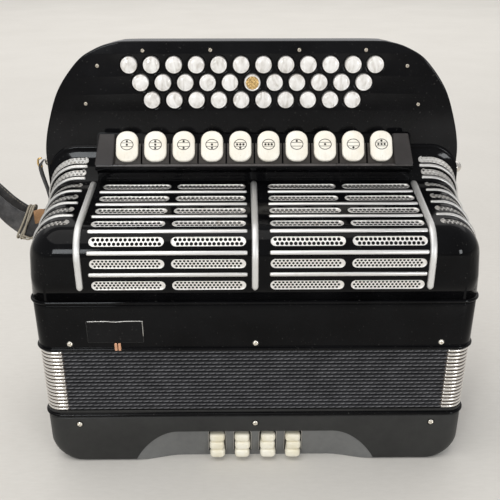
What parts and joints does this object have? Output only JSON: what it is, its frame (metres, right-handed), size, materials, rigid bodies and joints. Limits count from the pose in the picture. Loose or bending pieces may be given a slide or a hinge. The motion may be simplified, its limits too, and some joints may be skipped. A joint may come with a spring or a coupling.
{
  "type": "button accordion",
  "caption": "Diatonic button accordion standing on its bass end, with pearl treble buttons, register tabs, louvred grille and bellows.",
  "frame": {"origin": "on the floor under the middle of the whole outline, the shoulder strap included", "axes": "+X along the instrument's width, towards the side without the strap loop; +Y from the grille towards the player's chest; +Z from the bass end up to the treble buttons, along the bellows' travel"},
  "size_m": [0.4323, 0.179, 0.3544],
  "materials": {
    "black_celluloid": "polished black celluloid over the treble cases",
    "satin_charcoal": "satin charcoal celluloid, lightly scuffed",
    "bellows_cloth": "black pressed bellows cloth",
    "pearl_cap": "streaky mother-of-pearl celluloid",
    "ivory_tab": "ivory coloured plastic",
    "cream_cap": "cream plastic, slightly yellowed",
    "matte_grey": "matte dark grey",
    "reed_wood": "bare spruce",
    "dark_leather": "worn dark brown leather",
    "nickel": "nickel plate"
  },
  "bodies": {
    "bass_side": {"bass_case": "satin_charcoal", "bass_end_cover": "matte_grey", "hand_strap": "dark_leather", "bellows": "bellows_cloth"},
    "treble_side": {"treble_case": "black_celluloid", "grille_cover": "black_celluloid", "fingerboard": "black_celluloid", "keyboard_housing": "black_celluloid", "register_housing": "black_celluloid", "treble_reed_block": "reed_wood", "strap_bracket_right": "nickel", "shoulder_strap": "dark_leather"},
    "air_button": {"air_button": "ivory_tab"},
    "bass_button_column_1": {"bass_button_column_1": "cream_cap"},
    "bass_button_column_2": {"bass_button_column_2": "cream_cap"},
    "bass_button_column_3": {"bass_button_column_3": "cream_cap"},
    "bass_button_column_4": {"bass_button_column_4": "cream_cap"},
    "register_tab_01": {"register_tab_01": "ivory_tab"},
    "register_tab_02": {"register_tab_02": "ivory_tab"},
    "register_tab_03": {"register_tab_03": "ivory_tab"},
    "register_tab_04": {"register_tab_04": "ivory_tab"},
    "register_tab_05": {"register_tab_05": "ivory_tab"},
    "register_tab_06": {"register_tab_06": "ivory_tab"},
    "register_tab_07": {"register_tab_07": "ivory_tab"},
    "register_tab_08": {"register_tab_08": "ivory_tab"},
    "register_tab_09": {"register_tab_09": "ivory_tab"},
    "register_tab_10": {"register_tab_10": "ivory_tab"},
    "treble_button_01": {"treble_button_01": "pearl_cap"},
    "treble_button_02": {"treble_button_02": "pearl_cap"},
    "treble_button_03": {"treble_button_03": "pearl_cap"},
    "treble_button_04": {"treble_button_04": "pearl_cap"},
    "treble_button_05": {"treble_button_05": "pearl_cap"},
    "treble_button_06": {"treble_button_06": "pearl_cap"},
    "treble_button_07": {"treble_button_07": "pearl_cap"},
    "treble_button_08": {"treble_button_08": "pearl_cap"},
    "treble_button_09": {"treble_button_09": "pearl_cap"},
    "treble_button_10": {"treble_button_10": "pearl_cap"},
    "treble_button_11": {"treble_button_11": "pearl_cap"},
    "treble_button_12": {"treble_button_12": "pearl_cap"},
    "treble_button_13": {"treble_button_13": "pearl_cap"},
    "treble_button_14": {"treble_button_14": "pearl_cap"},
    "treble_button_15": {"treble_button_15": "pearl_cap"},
    "treble_button_16": {"treble_button_16": "pearl_cap"},
    "treble_button_17": {"treble_button_17": "pearl_cap"},
    "treble_button_18": {"treble_button_18": "pearl_cap"},
    "treble_button_19": {"treble_button_19": "pearl_cap"},
    "treble_button_20": {"treble_button_20": "pearl_cap"},
    "treble_button_21": {"treble_button_21": "pearl_cap"},
    "treble_button_22": {"treble_button_22": "pearl_cap"},
    "treble_button_23": {"treble_button_23": "pearl_cap"},
    "treble_button_24": {"treble_button_24": "pearl_cap"},
    "treble_button_25": {"treble_button_25": "pearl_cap"},
    "treble_button_26": {"treble_button_26": "pearl_cap"},
    "treble_button_27": {"treble_button_27": "pearl_cap"},
    "treble_button_28": {"treble_button_28": "pearl_cap"},
    "treble_button_29": {"treble_button_29": "pearl_cap"},
    "treble_button_30": {"treble_button_30": "pearl_cap"},
    "treble_button_31": {"treble_button_31": "pearl_cap"},
    "treble_button_32": {"treble_button_32": "pearl_cap"},
    "treble_button_33": {"treble_button_33": "pearl_cap"}
  },
  "joints": [
    {"name": "bellows_open", "type": "slide", "parent": "bass_side", "child": "treble_side", "axis": [0, 0, 1], "range_m": [0, 0.22], "deforming": ["bellows"]},
    {"name": "air_button_press", "type": "slide", "parent": "bass_side", "child": "air_button", "axis": [0, 0, 1], "range_m": [0, 0.005], "stiffness_N_per_m": 250, "springref_m": -0.003},
    {"name": "bass_press_1", "type": "slide", "parent": "bass_side", "child": "bass_button_column_1", "axis": [0, 1, 0], "range_m": [0, 0.004], "stiffness_N_per_m": 250, "springref_m": -0.003},
    {"name": "bass_press_2", "type": "slide", "parent": "bass_side", "child": "bass_button_column_2", "axis": [0, 1, 0], "range_m": [0, 0.004], "stiffness_N_per_m": 250, "springref_m": -0.003},
    {"name": "bass_press_3", "type": "slide", "parent": "bass_side", "child": "bass_button_column_3", "axis": [0, 1, 0], "range_m": [0, 0.004], "stiffness_N_per_m": 250, "springref_m": -0.003},
    {"name": "bass_press_4", "type": "slide", "parent": "bass_side", "child": "bass_button_column_4", "axis": [0, 1, 0], "range_m": [0, 0.004], "stiffness_N_per_m": 250, "springref_m": -0.003},
    {"name": "register_tilt_01", "type": "hinge", "parent": "treble_side", "child": "register_tab_01", "pos_m": [-0.0821, 0.00445, 0.26691], "axis": [1, 0, 0], "range_deg": [-8, 0]},
    {"name": "register_tilt_02", "type": "hinge", "parent": "treble_side", "child": "register_tab_02", "pos_m": [-0.0579, 0.00445, 0.26691], "axis": [1, 0, 0], "range_deg": [-8, 0]},
    {"name": "register_tilt_03", "type": "hinge", "parent": "treble_side", "child": "register_tab_03", "pos_m": [-0.0337, 0.00445, 0.26691], "axis": [1, 0, 0], "range_deg": [-8, 0]},
    {"name": "register_tilt_04", "type": "hinge", "parent": "treble_side", "child": "register_tab_04", "pos_m": [-0.0095, 0.00445, 0.26691], "axis": [1, 0, 0], "range_deg": [-8, 0]},
    {"name": "register_tilt_05", "type": "hinge", "parent": "treble_side", "child": "register_tab_05", "pos_m": [0.0147, 0.00445, 0.26691], "axis": [1, 0, 0], "range_deg": [-8, 0]},
    {"name": "register_tilt_06", "type": "hinge", "parent": "treble_side", "child": "register_tab_06", "pos_m": [0.0389, 0.00445, 0.26691], "axis": [1, 0, 0], "range_deg": [-8, 0]},
    {"name": "register_tilt_07", "type": "hinge", "parent": "treble_side", "child": "register_tab_07", "pos_m": [0.0631, 0.00445, 0.26691], "axis": [1, 0, 0], "range_deg": [-8, 0]},
    {"name": "register_tilt_08", "type": "hinge", "parent": "treble_side", "child": "register_tab_08", "pos_m": [0.0873, 0.00445, 0.26691], "axis": [1, 0, 0], "range_deg": [-8, 0]},
    {"name": "register_tilt_09", "type": "hinge", "parent": "treble_side", "child": "register_tab_09", "pos_m": [0.1115, 0.00445, 0.26691], "axis": [1, 0, 0], "range_deg": [-8, 0]},
    {"name": "register_tilt_10", "type": "hinge", "parent": "treble_side", "child": "register_tab_10", "pos_m": [0.1357, 0.00445, 0.26691], "axis": [1, 0, 0], "range_deg": [-8, 0]},
    {"name": "treble_press_01", "type": "slide", "parent": "treble_side", "child": "treble_button_01", "axis": [0, 1, 0], "range_m": [0, 0.004], "stiffness_N_per_m": 150, "springref_m": -0.004},
    {"name": "treble_press_02", "type": "slide", "parent": "treble_side", "child": "treble_button_02", "axis": [0, 1, 0], "range_m": [0, 0.004], "stiffness_N_per_m": 150, "springref_m": -0.004},
    {"name": "treble_press_03", "type": "slide", "parent": "treble_side", "child": "treble_button_03", "axis": [0, 1, 0], "range_m": [0, 0.004], "stiffness_N_per_m": 150, "springref_m": -0.004},
    {"name": "treble_press_04", "type": "slide", "parent": "treble_side", "child": "treble_button_04", "axis": [0, 1, 0], "range_m": [0, 0.004], "stiffness_N_per_m": 150, "springref_m": -0.004},
    {"name": "treble_press_05", "type": "slide", "parent": "treble_side", "child": "treble_button_05", "axis": [0, 1, 0], "range_m": [0, 0.004], "stiffness_N_per_m": 150, "springref_m": -0.004},
    {"name": "treble_press_06", "type": "slide", "parent": "treble_side", "child": "treble_button_06", "axis": [0, 1, 0], "range_m": [0, 0.004], "stiffness_N_per_m": 150, "springref_m": -0.004},
    {"name": "treble_press_07", "type": "slide", "parent": "treble_side", "child": "treble_button_07", "axis": [0, 1, 0], "range_m": [0, 0.004], "stiffness_N_per_m": 150, "springref_m": -0.004},
    {"name": "treble_press_08", "type": "slide", "parent": "treble_side", "child": "treble_button_08", "axis": [0, 1, 0], "range_m": [0, 0.004], "stiffness_N_per_m": 150, "springref_m": -0.004},
    {"name": "treble_press_09", "type": "slide", "parent": "treble_side", "child": "treble_button_09", "axis": [0, 1, 0], "range_m": [0, 0.004], "stiffness_N_per_m": 150, "springref_m": -0.004},
    {"name": "treble_press_10", "type": "slide", "parent": "treble_side", "child": "treble_button_10", "axis": [0, 1, 0], "range_m": [0, 0.004], "stiffness_N_per_m": 150, "springref_m": -0.004},
    {"name": "treble_press_11", "type": "slide", "parent": "treble_side", "child": "treble_button_11", "axis": [0, 1, 0], "range_m": [0, 0.004], "stiffness_N_per_m": 150, "springref_m": -0.004},
    {"name": "treble_press_12", "type": "slide", "parent": "treble_side", "child": "treble_button_12", "axis": [0, 1, 0], "range_m": [0, 0.004], "stiffness_N_per_m": 150, "springref_m": -0.004},
    {"name": "treble_press_13", "type": "slide", "parent": "treble_side", "child": "treble_button_13", "axis": [0, 1, 0], "range_m": [0, 0.004], "stiffness_N_per_m": 150, "springref_m": -0.004},
    {"name": "treble_press_14", "type": "slide", "parent": "treble_side", "child": "treble_button_14", "axis": [0, 1, 0], "range_m": [0, 0.004], "stiffness_N_per_m": 150, "springref_m": -0.004},
    {"name": "treble_press_15", "type": "slide", "parent": "treble_side", "child": "treble_button_15", "axis": [0, 1, 0], "range_m": [0, 0.004], "stiffness_N_per_m": 150, "springref_m": -0.004},
    {"name": "treble_press_16", "type": "slide", "parent": "treble_side", "child": "treble_button_16", "axis": [0, 1, 0], "range_m": [0, 0.004], "stiffness_N_per_m": 150, "springref_m": -0.004},
    {"name": "treble_press_17", "type": "slide", "parent": "treble_side", "child": "treble_button_17", "axis": [0, 1, 0], "range_m": [0, 0.004], "stiffness_N_per_m": 150, "springref_m": -0.004},
    {"name": "treble_press_18", "type": "slide", "parent": "treble_side", "child": "treble_button_18", "axis": [0, 1, 0], "range_m": [0, 0.004], "stiffness_N_per_m": 150, "springref_m": -0.004},
    {"name": "treble_press_19", "type": "slide", "parent": "treble_side", "child": "treble_button_19", "axis": [0, 1, 0], "range_m": [0, 0.004], "stiffness_N_per_m": 150, "springref_m": -0.004},
    {"name": "treble_press_20", "type": "slide", "parent": "treble_side", "child": "treble_button_20", "axis": [0, 1, 0], "range_m": [0, 0.004], "stiffness_N_per_m": 150, "springref_m": -0.004},
    {"name": "treble_press_21", "type": "slide", "parent": "treble_side", "child": "treble_button_21", "axis": [0, 1, 0], "range_m": [0, 0.004], "stiffness_N_per_m": 150, "springref_m": -0.004},
    {"name": "treble_press_22", "type": "slide", "parent": "treble_side", "child": "treble_button_22", "axis": [0, 1, 0], "range_m": [0, 0.004], "stiffness_N_per_m": 150, "springref_m": -0.004},
    {"name": "treble_press_23", "type": "slide", "parent": "treble_side", "child": "treble_button_23", "axis": [0, 1, 0], "range_m": [0, 0.004], "stiffness_N_per_m": 150, "springref_m": -0.004},
    {"name": "treble_press_24", "type": "slide", "parent": "treble_side", "child": "treble_button_24", "axis": [0, 1, 0], "range_m": [0, 0.004], "stiffness_N_per_m": 150, "springref_m": -0.004},
    {"name": "treble_press_25", "type": "slide", "parent": "treble_side", "child": "treble_button_25", "axis": [0, 1, 0], "range_m": [0, 0.004], "stiffness_N_per_m": 150, "springref_m": -0.004},
    {"name": "treble_press_26", "type": "slide", "parent": "treble_side", "child": "treble_button_26", "axis": [0, 1, 0], "range_m": [0, 0.004], "stiffness_N_per_m": 150, "springref_m": -0.004},
    {"name": "treble_press_27", "type": "slide", "parent": "treble_side", "child": "treble_button_27", "axis": [0, 1, 0], "range_m": [0, 0.004], "stiffness_N_per_m": 150, "springref_m": -0.004},
    {"name": "treble_press_28", "type": "slide", "parent": "treble_side", "child": "treble_button_28", "axis": [0, 1, 0], "range_m": [0, 0.004], "stiffness_N_per_m": 150, "springref_m": -0.004},
    {"name": "treble_press_29", "type": "slide", "parent": "treble_side", "child": "treble_button_29", "axis": [0, 1, 0], "range_m": [0, 0.004], "stiffness_N_per_m": 150, "springref_m": -0.004},
    {"name": "treble_press_30", "type": "slide", "parent": "treble_side", "child": "treble_button_30", "axis": [0, 1, 0], "range_m": [0, 0.004], "stiffness_N_per_m": 150, "springref_m": -0.004},
    {"name": "treble_press_31", "type": "slide", "parent": "treble_side", "child": "treble_button_31", "axis": [0, 1, 0], "range_m": [0, 0.004], "stiffness_N_per_m": 150, "springref_m": -0.004},
    {"name": "treble_press_32", "type": "slide", "parent": "treble_side", "child": "treble_button_32", "axis": [0, 1, 0], "range_m": [0, 0.004], "stiffness_N_per_m": 150, "springref_m": -0.004},
    {"name": "treble_press_33", "type": "slide", "parent": "treble_side", "child": "treble_button_33", "axis": [0, 1, 0], "range_m": [0, 0.004], "stiffness_N_per_m": 150, "springref_m": -0.004}
  ]
}
